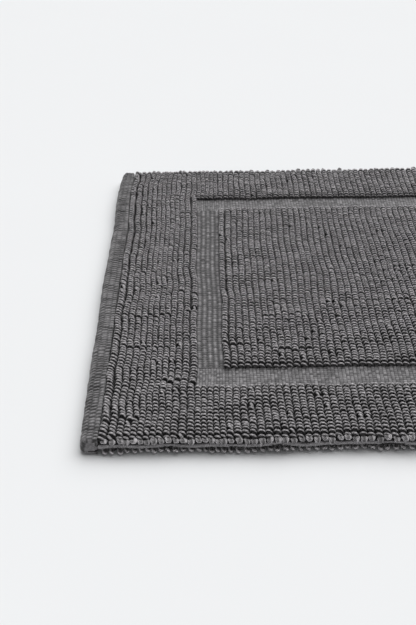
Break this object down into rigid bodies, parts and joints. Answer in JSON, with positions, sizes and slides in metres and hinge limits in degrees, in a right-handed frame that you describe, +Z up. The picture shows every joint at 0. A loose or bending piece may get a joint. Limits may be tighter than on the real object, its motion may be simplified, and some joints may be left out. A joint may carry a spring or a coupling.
{
  "type": "bath mat",
  "caption": "Rectangular double-faced cotton bath mat in charcoal grey loop pile, with a sunken flat-woven frame round its middle field and turned hems.",
  "frame": {"origin": "centre of the rectangle that the mat lies on, at the crests of the underside's pile", "axes": "+X along the mat's length, from the left hem to the right one; +Y from the front selvedge to the back one; +Z up"},
  "size_m": [0.8, 0.5, 0.0156],
  "materials": {
    "loop_pile": "matt charcoal grey cotton loops of thick, softly twisted yarn, near black in the gaps",
    "flat_weave": "matt charcoal grey cotton plain weave with low ribs along each row",
    "hem_cloth": "matt charcoal grey cotton flat weave, turned under, with fine cross ribs and faint puckers",
    "selvedge": "matt charcoal grey cotton, a narrow tight weave with a wavy edge",
    "sewing_thread": "dark grey cotton sewing thread"
  },
  "bodies": {
    "root": {"ground_weave": "flat_weave", "top_field_pile": "loop_pile", "top_front_border_pile": "loop_pile", "top_back_border_pile": "loop_pile", "top_left_border_pile": "loop_pile", "top_right_border_pile": "loop_pile", "top_front_edge_loops": "loop_pile", "top_back_edge_loops": "loop_pile", "top_channel_weave": "flat_weave", "reverse_field_pile": "loop_pile", "reverse_front_border_pile": "loop_pile", "reverse_back_border_pile": "loop_pile", "reverse_left_border_pile": "loop_pile", "reverse_right_border_pile": "loop_pile", "reverse_front_edge_loops": "loop_pile", "reverse_back_edge_loops": "loop_pile", "reverse_channel_weave": "flat_weave", "left_hem": "hem_cloth", "left_hem_needle_thread": "sewing_thread", "left_hem_bobbin_thread": "sewing_thread", "right_hem": "hem_cloth", "right_hem_needle_thread": "sewing_thread", "right_hem_bobbin_thread": "sewing_thread", "front_selvedge": "selvedge", "back_selvedge": "selvedge"}
  },
  "joints": []
}
